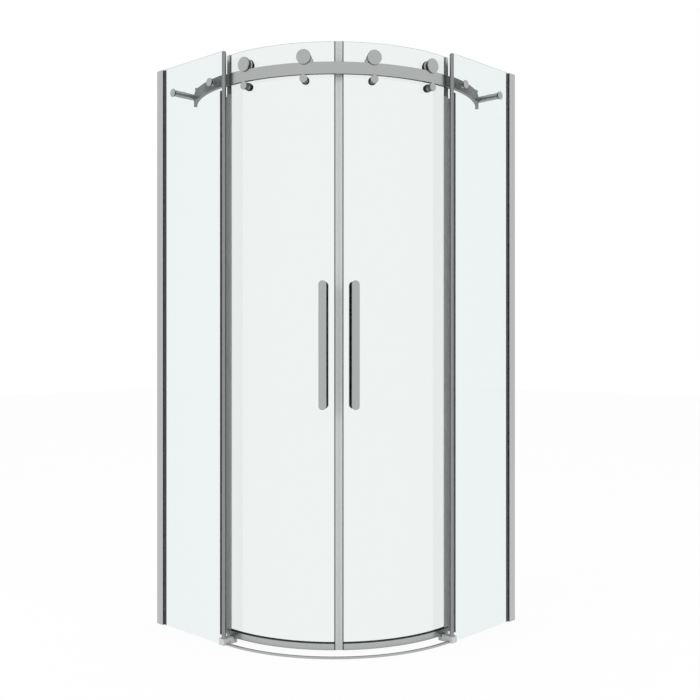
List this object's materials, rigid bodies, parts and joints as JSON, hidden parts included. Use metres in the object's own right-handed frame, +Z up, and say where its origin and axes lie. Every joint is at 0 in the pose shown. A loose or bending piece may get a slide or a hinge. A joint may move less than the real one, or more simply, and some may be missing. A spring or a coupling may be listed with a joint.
{
  "type": "quadrant shower enclosure",
  "caption": "Corner shower enclosure with flat fixed glass sides and curved glass doors that roll apart along an exposed curved rail.",
  "frame": {"origin": "floor level, at the centre of the square footprint", "axes": "+Z up; the room's two walls lie at -X and +Y, and the curved entry faces +X and -Y"},
  "size_m": [0.9, 0.9, 1.95],
  "materials": {
    "rail_metal": "satin stainless bar",
    "fitting_metal": "satin stainless",
    "profile_metal": "satin anodised",
    "handle_metal": "satin stainless",
    "screw_steel": "plain stainless",
    "fixed_pane_glass": "clear toughened",
    "door_pane_glass": "clear toughened",
    "black_rubber": "matt",
    "grey_seal": "semi-matt",
    "light_seal": "semi-matt",
    "magnet": "matt bonded magnet",
    "black_plastic": "satin",
    "guide_plastic": "satin grey",
    "clear_plastic": "clear",
    "wheel_nylon": "turned nylon"
  },
  "bodies": {
    "frame": {"curved_rail": "rail_metal", "rail_stops": "rail_metal", "stop_bumpers": "black_rubber", "stop_screws": "screw_steel", "rail_screws": "screw_steel", "standoffs_short": "fitting_metal", "standoffs_long": "fitting_metal", "standoff_caps": "fitting_metal", "standoff_bushes": "clear_plastic", "gasket_keys": "screw_steel", "post_caps": "profile_metal", "guide_grubs": "screw_steel", "threshold": "profile_metal", "wall_channel_left": "profile_metal", "wall_channel_right": "profile_metal", "glazing_gasket_left": "black_rubber", "glazing_gasket_right": "black_rubber", "fixed_glass_left": "fixed_pane_glass", "fixed_glass_right": "fixed_pane_glass", "edge_post_left": "profile_metal", "edge_post_right": "profile_metal", "fixed_seal_left": "grey_seal", "fixed_seal_right": "grey_seal", "floor_guide_left": "guide_plastic", "floor_guide_right": "guide_plastic"},
    "door_left": {"door_glass_left": "door_pane_glass", "meeting_seal_left": "light_seal", "meeting_magnet_left": "magnet", "rear_profile_left": "profile_metal", "rear_seal_left": "light_seal", "bottom_channel_left": "profile_metal", "bottom_bead_left": "black_rubber", "roller_axles_left": "screw_steel", "roller_discs_left": "fitting_metal", "roller_spacers_left": "black_plastic", "inner_caps_left": "black_plastic", "lift_guards_left": "fitting_metal", "handle_outer_left": "handle_metal", "handle_inner_left": "handle_metal", "handle_studs_left": "fitting_metal"},
    "door_right": {"door_glass_right": "door_pane_glass", "meeting_seal_right": "light_seal", "meeting_magnet_right": "magnet", "rear_profile_right": "profile_metal", "rear_seal_right": "light_seal", "bottom_channel_right": "profile_metal", "bottom_bead_right": "black_rubber", "roller_axles_right": "screw_steel", "roller_discs_right": "fitting_metal", "roller_spacers_right": "black_plastic", "inner_caps_right": "black_plastic", "lift_guards_right": "fitting_metal", "handle_outer_right": "handle_metal", "handle_inner_right": "handle_metal", "handle_studs_right": "fitting_metal"},
    "wheel_inner_left": {"wheel_inner_left": "wheel_nylon"},
    "wheel_outer_left": {"wheel_outer_left": "wheel_nylon"},
    "wheel_inner_right": {"wheel_inner_right": "wheel_nylon"},
    "wheel_outer_right": {"wheel_outer_right": "wheel_nylon"}
  },
  "joints": [
    {"name": "door_left_roll", "type": "hinge", "parent": "frame", "child": "door_left", "pos_m": [-0.09, 0.09, 0], "axis": [0, 0, -1], "range_deg": [0, 36]},
    {"name": "door_right_roll", "type": "hinge", "parent": "frame", "child": "door_right", "pos_m": [-0.09, 0.09, 0], "axis": [0, 0, 1], "range_deg": [0, 36]},
    {"name": "wheel_inner_left_spin", "type": "hinge", "parent": "door_left", "child": "wheel_inner_left", "pos_m": [0.183, -0.33853, 1.89605], "axis": [0.5373, -0.8434, 0], "range_deg": [0, 1080]},
    {"name": "wheel_outer_left_spin", "type": "hinge", "parent": "door_left", "child": "wheel_outer_left", "pos_m": [-0.01314, -0.41225, 1.89605], "axis": [0.1513, -0.9885, 0], "range_deg": [0, 1080]},
    {"name": "wheel_inner_right_spin", "type": "hinge", "parent": "door_right", "child": "wheel_inner_right", "pos_m": [0.33853, -0.183, 1.89605], "axis": [-0.8434, 0.5373, 0], "range_deg": [0, 1080]},
    {"name": "wheel_outer_right_spin", "type": "hinge", "parent": "door_right", "child": "wheel_outer_right", "pos_m": [0.41225, 0.01314, 1.89605], "axis": [-0.9885, 0.1513, 0], "range_deg": [0, 1080]}
  ],
  "couplings": [
    {"joint": "wheel_inner_left_spin", "follows": "door_left_roll", "ratio": 30},
    {"joint": "wheel_outer_left_spin", "follows": "door_left_roll", "ratio": 30},
    {"joint": "wheel_inner_right_spin", "follows": "door_right_roll", "ratio": 30},
    {"joint": "wheel_outer_right_spin", "follows": "door_right_roll", "ratio": 30}
  ]
}
